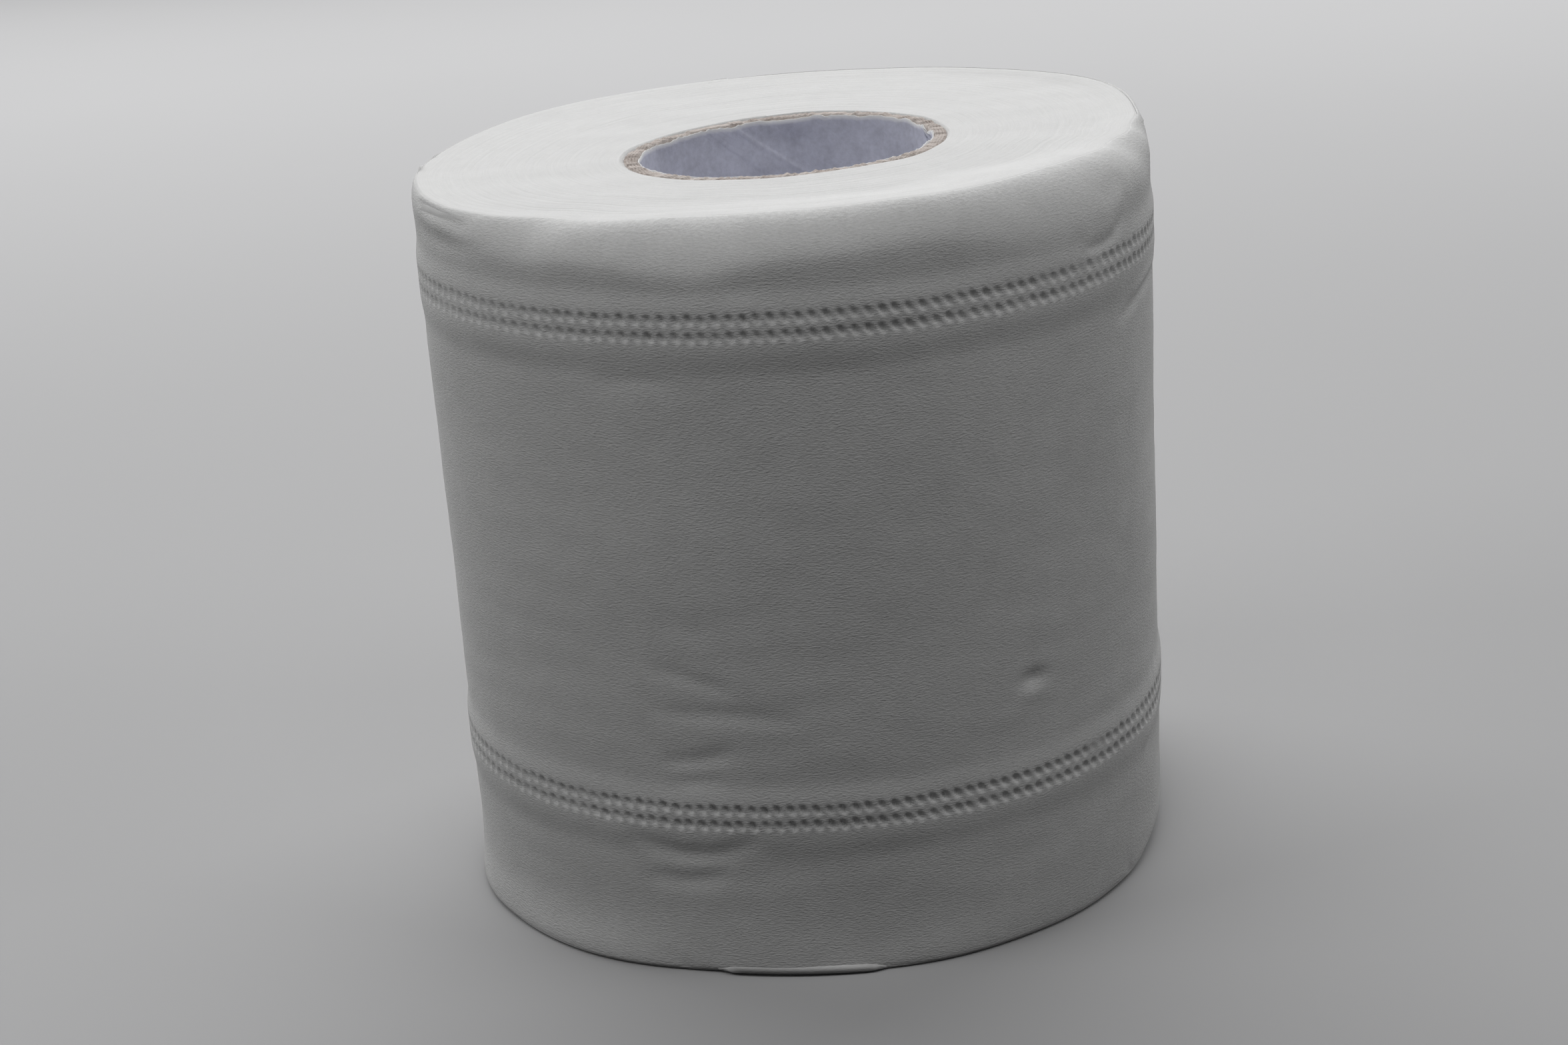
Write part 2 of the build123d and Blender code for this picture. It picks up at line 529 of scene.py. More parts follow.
# Wrinkles as (depth, width, places along it as degrees and millimetres); a ridge is below zero
wrinkles = (
    (0.10, 0.9, ((235, 101.6), (239.5, 101.8))),
    (0.09, 1, ((238, 84.6), (245.6, 84.9), (251, 84.7))),
    (0.06, 1.1, ((243.5, 76), (250, 76.1))),
    (0.06, 1.1, ((243.5, 62), (252, 62.3))),
    (0.06, 1.1, ((244, 56.3), (253, 56.6))),
    (0.17, 1, ((245.3, 51.5), (249.8, 50.6), (254, 49.6))),
    (0.24, 1, ((243.5, 44.8), (247.1, 44.3), (252, 43.2), (256.3, 41.7))),
    (0.21, 1.1, ((242.5, 39), (248.6, 38.7), (256.1, 38.8), (266.5, 37.6))),
    (0.28, 1, ((243.9, 31.3), (249.5, 31.9), (255.6, 33.2))),
    (0.17, 0.8, ((245.5, 28.5), (253.8, 29.3))),
    (0.36, 1.2, ((237.5, 20.2), (242.1, 18.8), (246.7, 17.9), (251.2, 18), (254.4, 19),
                 (258.6, 20.2))),
    (-0.10, 1.2, ((241, 16.4), (246.5, 15.9), (253, 16.8))),
    (0.26, 1.2, ((239.5, 14.1), (246.3, 13.8), (254, 15.2))),
    (0.36, 0.6, ((198.5, 103.3), (203.5, 103.1), (207.8, 103.1), (215.5, 102.3))),
    (-0.08, 0.9, ((203, 101.7), (211.5, 101.5))),
    (0.22, 1, ((198, 100.2), (203.8, 99.7), (211, 99.7), (220.6, 100.2))),
    (0.27, 0.7, ((331, 100), (327.7, 96.8), (324.9, 95.3), (321.7, 94.9), (317, 95.1))),
    (-0.14, 0.8, ((326, 97.2), (317, 96.5))),
    (-0.26, 1.5, ((331, 102), (342, 102.4), (358, 102.8))),
    (0.16, 0.9, ((323.5, 100.7), (328.3, 101.4), (331.6, 102))),
    (-0.20, 0.8, ((349, 87.2), (341, 86.9), (331, 85.8))),
    (0.24, 0.8, ((347, 85.8), (337, 85.2), (326.5, 83.5))),
    (-0.12, 1.2, ((334, 83.8), (326.8, 81.3))),
    (0.10, 1.6, ((326, 75), (331.5, 74.6))),
    (0.10, 1.6, ((325.5, 70.2), (331, 69.8))),
    (0.09, 1.6, ((325.5, 65.4), (330.5, 65.2))),
    (0.09, 1.8, ((325, 58.6), (330.5, 58.2))),
    (0.08, 1.8, ((324.5, 50.8), (330, 50.4))),
    (-0.16, 0.7, ((342, 21.6), (338, 20.4), (333.6, 19))),
    (0.16, 0.7, ((342.5, 20.4), (338, 19.2), (334, 17.8))),
    (0.08, 0.6, ((339.5, 30.5), (339.2, 27))),
    (0.08, 0.6, ((343.5, 30), (343.2, 27.2))),
    (0.16, 0.6, ((243.2, 3.4), (244.6, 1.6), (246, 0.4))),
    (-0.10, 0.6, ((244.2, 3.6), (245.6, 1.8))),
    (0.30, 0.7, ((326, 3.2), (326.8, 0.6))),
    (0.10, 1.3, ((24, 66), (33, 66.8))),
    (0.12, 1.2, ((46, 44), (57, 43.2), (61, 44))),
    (0.09, 1.4, ((12, 36), (20, 35.4))),
    (0.10, 1.2, ((118, 72), (129, 71.2))),
    (0.09, 1.3, ((140, 50), (152, 50.8))),
    (0.11, 1.2, ((150, 14.8), (163, 14.2))),
    (0.09, 1.2, ((168, 80), (176, 79.2))),
    (0.10, 1.2, ((80, 84.4), (90, 84))),
)

# Dimples as (depth, half width, half height, degrees, millimetres)
dimples = (
    (0.80, 1.75, 1.05, 304.2, 38.6),
    (0.14, 0.8, 0.6, 307.1, 33.8),
    (0.07, 1.2, 0.8, 298.9, 35.5),
    (-0.20, 2, 0.8, 304.3, 36.4),
)


def creaseDepth(across, up, path, width):
    # a bell of the distance to the nearest of the straight runs between the path's places,
    # times the root of 4t(1 - t), where t runs from one end of the path to the other
    deepest = np.zeros(across.shape)
    lengths = [math.dist(start, end) for start, end in zip(path, path[1:])]
    before = 0.0
    for (startAcross, startUp), (endAcross, endUp), length in zip(path, path[1:], lengths):
        runAcross, runUp = endAcross - startAcross, endUp - startUp
        share = (across - startAcross) * runAcross + (up - startUp) * runUp
        share = np.clip(share / length ** 2, 0, 1)
        gap = np.hypot(across - startAcross - share * runAcross, up - startUp - share * runUp)
        along = (before + share * length) / sum(lengths)
        deepest = np.maximum(deepest, bell(gap, width) * np.sqrt(4 * along * (1 - along)))
        before += length
    return deepest


def dentDepth(across, up):
    # each dent is a slanted bowl: one minus the squared distance from its middle
    band, count = bandShape, sheetShape["dentsRound"]
    pitch = twoPi * rollShape["radius"] / count
    draw = np.random.default_rng(11)
    number = np.round(across / pitch).astype(int) % count
    total = np.zeros(across.shape)
    for bandHeight, depthShare in zip(band["heights"], band["depthShares"]):
        for side in (-1, 1):
            rowHeight = bandHeight + side * band["rowSpacing"] / 2
            depths = 1 + band["depthSpread"] * draw.normal(size=count)
            shifts = band["placeSpread"] * draw.normal(size=(2, count))
            for angle, weakHeight in band["weakDents"]:
                if abs(weakHeight - rowHeight) < 0.1:
                    weak = round(math.radians(angle) * rollShape["radius"] / pitch)
                    depths[weak % count] = band["weakDepth"]
            v = up - rowHeight - shifts[1][number]
            u = across - np.round(across / pitch) * pitch + band["dentSlant"] * v
            u = u - shifts[0][number]
            away = (2 * u / band["dentWidth"]) ** 2 + (2 * v / band["dentHeight"]) ** 2
            depths = band["dentDepth"] * depthShare * np.clip(depths, 0.2, 1.4)
            total += depths[number] * np.clip(1 - away, 0, 1)
    for angle, width, less in band["shallow"]:
        total *= 1 - less * bellRound(across / rollShape["radius"], angle, width)
    return total


def sheetRelief(theta, up):
    # all that lifts or sinks the sheet's side, in millimetres outwards
    band, radius = bandShape, rollShape["radius"]
    across = theta * radius
    relief = sheetShape["softWaves"] * ripple(across, up, 21, 14, 16.0, 40.0)
    relief += sheetShape["fineWaves"] * ripple(across / 3.5, up, 22, 24, 2.8, 8.0)
    for height in band["heights"]:
        above = up - height
        relief += band["swell"] * ramp(above, *band["swellBelow"])
        relief -= band["swell"] * ramp(above, *band["swellAbove"])
    for depth, width, path in wrinkles:
        # angles run on from the loose end, so what lies before it comes a full turn later
        for turn in (0, twoPi * radius):
            run = [(math.radians(angle) * radius + turn, height) for angle, height in path]
            relief -= depth * creaseDepth(across, up, run, width)
    for depth, halfWidth, halfHeight, angle, height in dimples:
        u = (across - math.radians(angle) * radius) / halfWidth
        relief -= depth * bell(np.hypot(u, (up - height) / halfHeight), 1.0)
    return relief - dentDepth(across, up)


def sheetRows():
    # heights of the side's rows, closer together where more is pressed into the paper, and
    # whether they cross a band
    sheet = sheetShape
    low, high = bandShape["heights"]
    reach, count = sheet["bandReach"], sheet["bandRows"]
    clear = reach + sheet["bandGap"]
    between = [np.linspace(low + clear, 47, 26), np.linspace(48.3, 81.4, 20),
               np.linspace(82.4, high - clear, 14)]
    return [
        (np.linspace(sheet["sideFrom"], low - clear, 23), False),
        (np.linspace(low - reach, low + reach, count), True),
        (np.concatenate(between), False),
        (np.linspace(high - reach, high + reach, count), True),
        (np.linspace(high + clear, sheet["sideTo"], 9), False),
    ]


def sheetPoints(phi, up, rimTurn, inset=0.0):
    # phi runs along the sheet from its loose end; rimTurn is how far round the rim a row lies,
    # below zero at the bottom. Inset is the depth under the outer side.
    shape, sheet = rollShape, sheetShape
    theta = math.radians(shape["looseEndAngle"]) + phi
    topAcross, topHigh = rimSize(theta, True)
    bottomAcross, bottomHigh = rimSize(theta, False)
    over = np.clip(phi - twoPi, 0, None)
    # the tucked end dives under the loose end
    base = shape["radius"] - shape["sheetThickness"] * phi / twoPi - sheet["tuckSlope"] * over
    lift = sheet["looseLift"] * bell(phi * shape["radius"], sheet["looseLiftLength"])
    radius = outsideRadius(theta, base) + lift
    turn = np.radians(np.abs(rimTurn))
    isTop = rimTurn >= 0
    across = np.where(isTop, topAcross, bottomAcross)
    high = np.where(isTop, topHigh, bottomHigh)
    level = 2 / rimShape["power"]
    radius = radius - across * (1 - np.cos(turn) ** level) - inset * np.cos(turn)
    drop = high * (1 - np.sin(turn) ** level) + inset * np.sin(turn)
    # the side's lowest rows go up where the bottom rim is high, and its highest ones are
    # spread up to where the top rim begins
    rise = 1 - ramp(up, sheet["sideFrom"], sheet["riseTo"])
    side = up + (bottomHigh - sheet["usualRim"]) * rise
    topEdge = shape["height"] + aroundRing(theta, rimShape["lift"])[0]
    begins = np.maximum(topEdge - topHigh, sheet["lowestRim"]) - sheet["rimGap"]
    spread = np.clip(up - sheet["spreadFrom"], 0, None) / (sheet["sideTo"] - sheet["spreadFrom"])
    side = side + spread * (begins - sheet["sideTo"])
    z = np.where(rimTurn == 0, side, np.where(isTop, topEdge - drop, drop))
    radius = radius + footSpread(theta, z)
    if np.ndim(inset) == 0 and inset == 0:
        # the relief fades out towards the sheet's edges, which sink into the turns a little
        edges = edgeTurns(theta)
        share = np.abs(rimTurn) / np.where(isTop, edges[0], edges[1])
        radius = radius + (1 - ramp(share, sheet["fadeFrom"], 1)) * sheetRelief(theta, z)
        sunk = sheet["edgeSink"] * ramp(share, sheet["sinkFrom"], 1)
        sunk = sunk * (1 - footStrip(theta) * ~isTop)
        radius = radius - sunk * np.cos(turn)
        z = z - np.where(isTop, 1, -1) * sunk * np.sin(turn)
        for angle, halfWidth, far in sheet["tornSpecks"]:
            speck = far * bellRound(theta, angle, halfWidth)
            z = z + isTop * speck * ramp(share, sheet["speckFrom"], 1)
    ragged = sheet["looseRaggedness"] * ripple(z, 0 * z, 31, 9, 1.4, 6.0) / shape["radius"]
    theta = theta + ragged * bell(phi * shape["radius"], 0.8)
    return ringPoints(radius, theta, z)


def edgeTurns(theta):
    # how many degrees the sheet goes round each rim's curve: nearly to the flat at the top,
    # and hardly at the front's foot, where inner turns show
    sheet = sheetShape
    left = 1 - sheet["topEdgeShare"] + sheet["topEdgeWave"] * ringWave(theta, 41, 3, 24)
    left = np.clip(left, 0.03, 1) ** (rimShape["power"] / 2)
    bottom = sheet["bottomEdgeTurn"] + sheet["bottomEdgeWave"] * ringWave(theta, 42, 3, 24)
    bottom = bottom - sheet["stripEdgeTurn"] * footStrip(theta)
    return np.degrees(np.arccos(left)), np.clip(bottom, 3, 82)


def buildOuterSheet():
    sheet, shape = sheetShape, rollShape
    dents = sheet["dentsRound"] + sheet["tuckedDents"]
    length = dents * twoPi / sheet["dentsRound"]
    fineCount = dents * sheet["columnsPerDent"] + 1
    coarseCount = dents * sheet["coarseColumns"] + 1
    hiddenCount = dents // 2 + 1
    start = math.radians(shape["looseEndAngle"])

    def rimRows(shares, side, count, inset=0.0):
        # each row lies a share of the way round the rim to the sheet's edge
        phi = np.linspace(0, length, count)[None, :] + 0 * shares[:, None]
        turns = edgeTurns(start + phi)[0 if side > 0 else 1]
        return phi, 0 * phi, side * shares[:, None] * turns, inset

    def sideRows(heights, count, inset=0.0):
        phi = np.linspace(0, length, count)[None, :] + 0 * heights[:, None]
        return phi, heights[:, None] + 0 * phi, 0 * phi, inset

    # the outer side from its lower edge to its upper one, then the unseen side back down
    zones = [rimRows(np.linspace(1, 1 / 7, 7), -1, coarseCount)]
    for heights, isBand in sheetRows():
        zones.append(sideRows(heights, fineCount if isBand else coarseCount))
    # one more row right beside the upper edge keeps the bend in its normals narrow
    shares = np.concatenate([np.linspace(1 / 13, 12 / 13, 12), [0.985, 1.0]])
    zones.append(rimRows(shares, 1, coarseCount))
    seen = len(zones)
    thin = sheet["edgeThickness"]
    zones.append(rimRows(np.array([1.0, 0.6, 0.2]), 1, hiddenCount, thin))
    hidden = np.array(sheet["hiddenRows"])
    depth = np.full((len(hidden), 1), sheet["hiddenInset"])
    depth[[0, -1]] *= sheet["hiddenEnds"]
    hiddenPhi = np.linspace(0, length, hiddenCount)[None, :]
    thinning = ramp(hiddenPhi * shape["radius"], *sheet["thinning"])
    zones.append(sideRows(hidden, hiddenCount, thin + (depth - thin) * thinning))
    zones.append(rimRows(np.array([0.2, 0.6, 1.0]), -1, hiddenCount, thin))

    points, places, grids, first = [], [], [], 0
    for phi, up, rimTurn, inset in zones:
        grid = sheetPoints(phi, up, rimTurn, inset)
        grids.append(first + np.arange(phi.size).reshape(phi.shape))
        first += phi.size
        points.append(grid.reshape(-1, 3))
        arc = phi * shape["radius"]
        places.append(np.stack([arc, grid[..., 2], 0 * arc], axis=-1).reshape(-1, 3))
    faces = [quads(grid) for grid in grids]
    along = [np.linspace(0, 1, grid.shape[1]) for grid in grids]
    for i in range(len(grids)):
        j = (i + 1) % len(grids)
        faces.append(zipRows(grids[i][-1], grids[j][0], along[i], along[j]))
    # the two end edges: the outer side's last column is joined to the unseen side's
    points = np.concatenate(points)
    for column in (0, -1):
        outside = np.concatenate([grid[:, column] for grid in grids[:seen]])
        inside = np.concatenate([grid[:, column] for grid in grids[seen:]])[::-1]
        strip = zipRows(outside, inside, np.maximum.accumulate(points[outside, 2]),
                        np.maximum.accumulate(points[inside, 2]))
        faces.append(strip if column == 0 else strip[:, ::-1])
    makePiece("outerSheet", points, faces, np.concatenate(places), tissueSheet)


# The turns under it: one closed body whose two ends carry the spiral of the sheets' edges
turnsShape = dict(
    turns=60,
    columns=240,
    wallInset=1.75,          # their unseen outer wall lies this deep, from wallFoot up
    wallFoot=2.4,
    wallTop=6.0,             # to so far under the top
    boreGap=0.03,
    boreEnds=0.35,           # the bore's wall stops so far from both ends
    firstTurn=0.3,           # and the first turn's edge lies so far out from it
    grooveDepth=0.028,
    endDrop=0.1,             # the ends lie this much deeper than the roll's height, and never
    leastDrop=0.02,          # less than this
    skirt=0.9,               # they go on under the outer sheet's edge by so much,
    leastSkirt=0.15,         # but stay this far in from its outside
    skirtSink=0.03,
    stripFlare=0.65,         # where the inner turns' foot shows, it stands out by so much
    stripFlatness=0.65,      # and its rim is lower by this share
    bunching=0.25,           # how unevenly the turns lie
    bunchWaves=((3, 0.4), (7, 2.2), (12, 4.0)),     # how many waves, and where they start
    unevenness=0.04,
    grooveWobble=0.3,        # how much the grooves' depth varies, and the ridges'
    ridgeWobble=0.02,
    ridgeSink=0.01,
    pressedWidth=1.2,        # so near the sheet's edge the turns are pressed flat,
    pressedShare=0.9,        # by this share
)


def edgeInset(theta, isTop):
    # how far in the outer sheet's edge lies, on the rim's curve
    turn = np.radians(edgeTurns(theta)[0 if isTop else 1])
    return rimSize(theta, isTop)[0] * (1 - np.cos(turn) ** (2 / rimShape["power"]))


def turnsOutside(theta, isTop):
    # where the outer sheet's side is, which comes in by its thickness in one turn
    shape = rollShape
    along = (theta - math.radians(shape["looseEndAngle"])) % twoPi / twoPi
    # that step is spread over the last few degrees, so the turns have none
    along = along - ramp(along, 0.97, 1.0)
    outside = outsideRadius(theta, shape["radius"] - shape["sheetThickness"] * along)
    return outside if isTop else outside + footSpread(theta, 0.0)


def turnRadii(number, theta, isTop):
    # the turn's place across the end, as a share from the core to the rim, in an even spiral
    # that is bunched by a few sine waves; the oval goes over from the core's to the outside's
    turns, shape = turnsShape, rollShape
    share = number / turns["turns"]
    for order, phase in turns["bunchWaves"]:
        wave = np.sin(twoPi * order * number / turns["turns"] + phase) - math.sin(phase)
        share = share + turns["bunching"] * wave / (twoPi * order * 2.2)
    share = np.clip(share, 0, 1)
    inner = shape["coreRadius"] + turns["boreGap"] + turns["firstTurn"]
    inner = inner * oval(theta, "core")
    outside = turnsOutside(theta, isTop)
    outer = outside - edgeInset(theta, isTop)
    if not isTop:
        outer = outer + turns["stripFlare"] * footStrip(theta)
    return inner + (outer - inner) * share, outside


def endHeight(radius, outside, theta, isTop):
    # flat, but for the rim's curve, a soft unevenness and the outer turns that stand up
    turns = turnsShape
    across, high = rimSize(theta, isTop)
    if not isTop:
        high = high * (1 - turns["stripFlatness"] * footStrip(theta))
    inset = outside - radius
    power = rimShape["power"]
    curve = 1 - np.clip(inset / across, 0, 1)
    drop = high * (1 - (1 - curve ** power) ** (1 / power))
    x, y = radius * np.cos(theta), radius * np.sin(theta)
    inside = 1 - bell(np.maximum(inset - edgeInset(theta, isTop), 0), 3.0)
    uneven = turns["unevenness"] * ripple(x, y, 51 + isTop, 12, 9.0, 26.0)
    drop = np.maximum(drop + inside * (turns["endDrop"] + uneven), turns["leastDrop"])
    if isTop:
        lift, liftAcross = aroundRing(theta, rimShape["lift"])
        drop = drop - lift * (1 - ramp(inset, across, across + liftAcross))
    return rollShape["height"] - drop if isTop else drop


def spiralEnd(isTop):
    # two rows of vertices to a turn, a ridge and a groove, that wind in from the loose end. The
    # last column joins the first one two rows further in, which makes it one spiral.
    turns, shape = turnsShape, rollShape
    rows, columns = 2 * turns["turns"] - 1, turns["columns"]
    phi = np.arange(columns)[None, :] * twoPi / columns + np.zeros((rows, 1))
    theta = math.radians(shape["looseEndAngle"]) + phi
    number = np.arange(rows)[:, None] / 2 + 1 - phi / twoPi
    radius, outside = turnRadii(number, theta, isTop)
    z = endHeight(radius, outside, theta, isTop)
    isGroove = (np.arange(rows) % 2 == 1)[:, None]
    along = number * twoPi
    wobble = ripple(along * 8.0, number * 0.9, 61 + isTop, 16, 5.0, 60.0)
    grooves = turns["grooveDepth"] * (1 + turns["grooveWobble"] * wobble)
    ridges = turns["ridgeWobble"] * wobble + turns["ridgeSink"]
    # the turns by the sheet's edge are pressed flat, so that it lies on them without a step
    pressed = bell(outside - edgeInset(theta, isTop) - radius, turns["pressedWidth"])
    sink = np.maximum(np.where(isGroove, grooves, ridges), 0)
    sink = sink * (1 - turns["pressedShare"] * pressed)
    z = z + np.where(isTop, -1, 1) * sink
    index = np.arange(rows * columns).reshape(rows, columns)
    # across the seam, row i + 2 of the last column meets row i of the first
    seam = quads(np.stack([index[2:, -1], index[:-2, 0]], axis=1))
    innerLoop = np.concatenate([index[0], [index[1, -1], index[2, -1]]])
    outerLoop = np.concatenate([index[-1], [index[-3, 0], index[-2, 0]]])
    return (ringPoints(radius, theta, z).reshape(-1, 3), number.ravel(), [quads(index), seam],
            innerLoop, outerLoop)


def buildWoundTurns():
    turns, shape = turnsShape, rollShape
    columns, top = turns["columns"], shape["height"]
    theta = math.radians(shape["looseEndAngle"]) + np.arange(columns) * twoPi / columns
    points, numbers, faces, first = [], [], [], 0
    for isTop in (False, True):
        endPoints, endNumbers, endFaces, inner, outer = spiralEnd(isTop)
        # seen from above, columns run anticlockwise and rows outwards, so the top is reversed
        faces += [(part[:, ::-1] if isTop else part) + first for part in endFaces]
        if isTop:
            topInner, topOuter = inner + first, outer + first
        else:
            footInner, footOuter = inner, outer
        points.append(endPoints)
        numbers.append(endNumbers)
        first += len(endPoints)

    def skirt(isTop):
        # a ring under the outer sheet's edge, where the end goes on for a little
        outside = turnsOutside(theta, isTop)
        inset = np.maximum(edgeInset(theta, isTop) - turns["skirt"], turns["leastSkirt"])
        sunk = -turns["skirtSink"] if isTop else turns["skirtSink"]
        z = endHeight(outside - inset, outside, theta, isTop) + sunk
        if not isTop:
            z = z + (rimSize(theta, False)[1] + 0.1 - z) * footStrip(theta)
        return outside - inset, z

    bore = (shape["coreRadius"] + turns["boreGap"]) * oval(theta, "core")
    wall = outsideRadius(theta, shape["radius"] - shape["sheetThickness"]) - turns["wallInset"]
    rings = [(bore, turns["boreEnds"]), (bore, top / 2), (bore, top - turns["boreEnds"]),
             skirt(False), (wall, turns["wallFoot"]), (wall, top / 2),
             (wall, top - turns["wallTop"]), skirt(True)]
    ringIndex = []
    for radius, z in rings:
        ringIndex.append(first + np.arange(columns))
        points.append(ringPoints(radius, theta, z + 0 * theta))
        numbers.append(turns["turns"] - (theta - theta[0]) / twoPi)
        first += columns

    def shareRound(loop):
        # a spiral end's loop has two more vertices on the seam, just before it closes
        extra = [1 - 0.4 / columns, 1 - 0.2 / columns] if len(loop) > columns else []
        return np.concatenate([np.arange(columns) / columns, extra, [1.0]])

    # both walls from foot to top: the bore's faces the axis, and the outer one faces out
    boreWall = [footInner, *ringIndex[:3], topInner]
    outerWall = [footOuter, *ringIndex[3:], topOuter]
    for wallLoops in (boreWall, outerWall):
        for low, high in zip(wallLoops, wallLoops[1:]):
            strip = zipRows(np.append(low, low[0]), np.append(high, high[0]),
                            shareRound(low), shareRound(high))
            faces.append(strip[:, ::-1] if wallLoops is boreWall else strip)
    number = np.concatenate(numbers)
    places = np.stack([number, 0 * number, 0 * number], axis=-1)
    makePiece("woundTurns", np.concatenate(points), faces, places, tissueTurns,
              "paper_roll")


# The board core: a thick tube with rough cut ends
boardShape = dict(
    columns=720,
    topDrop=0.14,            # it stands a little lower than the paper
    bottomDrop=0.25,
    roughness=0.10,
    plies=4,
    plyDepth=0.10,           # the cut ends are hollow between the plies
    edgeDrop=0.12,           # and worn down at their edges
    fraying=0.04,
    rowsAcross=9,
    rowsUp=3,
)


def wallLoop(across, up):
    # a closed loop round the wall's section, from the outside's foot: up, across, down, back.
    # The share through the wall and the share of the height, as columns.
    rise = np.linspace(0, 1, up + 1)[1:] * 0.98
    share = np.concatenate([np.zeros(up), np.linspace(0, 1, across), np.ones(up),
                            np.linspace(1, 0, across)])
    level = np.concatenate([rise, np.ones(across), 1 - rise, np.zeros(across)])
    return share[:, None], level[:, None]


def closedTube(points):
    # joins a grid whose rows run round the section and whose columns run round the ring
    index = np.arange(points.shape[0] * points.shape[1]).reshape(points.shape[:2])
    return quads(np.pad(index, ((0, 1), (0, 1)), mode="wrap"))


def buildCoreBoard():
    board, shape = boardShape, rollShape
    rough = board["roughness"]
    theta = np.arange(board["columns"])[None, :] * twoPi / board["columns"]
    share, level = wallLoop(board["rowsAcross"], board["rowsUp"])
    ragged = rough * (ringWave(theta, 71, 8, 60) * 0.6 + ringWave(theta, 72, 60, 160) * 0.5)
    wave = twoPi * board["plies"] * share + 1.5 * ringWave(theta, 73, 3, 14)
    edge = (share == 0) | (share == 1)
    sunk = np.where(edge, board["edgeDrop"], board["plyDepth"] * (0.5 - 0.5 * np.cos(wave)))
    top = shape["height"] - board["topDrop"] + ragged - sunk
    foot = board["bottomDrop"] + rough * ringWave(theta, 74, 8, 90) + sunk
    z = foot + (top - foot) * level
    frayed = board["fraying"] * ringWave(theta, 75, 20, 120) * (level == 1) * edge
    radius = shape["coreRadius"] - shape["boardThickness"] * share
    points = ringPoints((radius + frayed) * oval(theta, "core"), theta, z)
    places = np.stack([share + 0 * z, theta * 20 + 0 * z, z], axis=-1)
    makePiece("coreBoard", points, [closedTube(points)], places, coreBoardCut,
              "core_tube")


# The core's lining: thin paper inside the board, loose in places, with a slanting lap
liningShape = dict(
    columns=480,
    rows=56,
    evenRows=0.35,           # how evenly the rows lie, where one is even
    thickness=0.20,
    gap=0.03,                # between it and the board
    topDrop=0.32,
    bottomDrop=0.55,
    waviness=0.05,
    footWaviness=0.10,
    raggedness=0.035,
    edgeWidth=0.09,          # how far its cut edge's pale colour reaches
    lapRise=0.68,            # millimetres that the lap climbs for each one round the bore
    lapAngle=106.0,          # the lap's upper edge passes this angle at lapHeight
    lapHeight=101.5,
    lapWidth=5.1,
    lapStep=0.08,
    lapSlopes=(0.7, 1.4),    # how wide its upper and lower edges are
    lapRidge=0.05,
    ridgeWidth=0.5,
    unevenness=0.02,
    # soft waves that stand in at the top and at the foot: (seed, how far in, how deep)
    looseWaves=((85, 0.12, 1.4), (86, 0.14, 1.8)),
    # loose places as (degrees, half width in degrees, how far in, how deep it reaches)
    loose=((155, 5, 0.35, 1.6), (116, 11, 0.50, 2.2), (88, 11, 0.95, 2.6),
           (141, 5, 0.20, 1.5), (15, 5, 0.55, 1.4), (60, 12, 0.40, 2.6),
           (346, 6, 0.30, 1.5), (215, 12, 0.30, 2), (250, 8, 0.25, 1.6)),
    # dips and rises of the top edge as (degrees, half width in degrees, height)
    edge=((155, 5, -0.14), (147, 4, -0.08), (128, 5.5, 0.10), (118, 3.5, -0.14),
          (107, 4, 0.12), (95, 5, -0.06), (76, 3, 0.12), (72, 1.6, -0.10),
          (63, 5, 0.14), (56.4, 2, -0.14), (48, 6, 0.12), (38, 1.8, -0.10),
          (33.8, 2.4, 0.20), (25.5, 2, -0.05), (18, 1.6, 0.28), (13, 1.8, -0.50),
          (6.5, 2.2, 0.25)),
)


def liningEdges(theta):
    # the top and bottom edges' heights: soft waves, fine raggedness and the places above
    lining = liningShape
    ragged = lining["raggedness"]
    top = rollShape["height"] - lining["topDrop"]
    top = top + lining["waviness"] * ringWave(theta, 81, 6, 30)
    top = top + ragged * ringWave(theta, 82, 40, 120)
    for middle, width, height in lining["edge"]:
        top = top + height * bellRound(theta, middle, width)
    bottom = lining["bottomDrop"] + lining["footWaviness"] * ringWave(theta, 83, 5, 30)
    return top, bottom + ragged * ringWave(theta, 84, 40, 120)


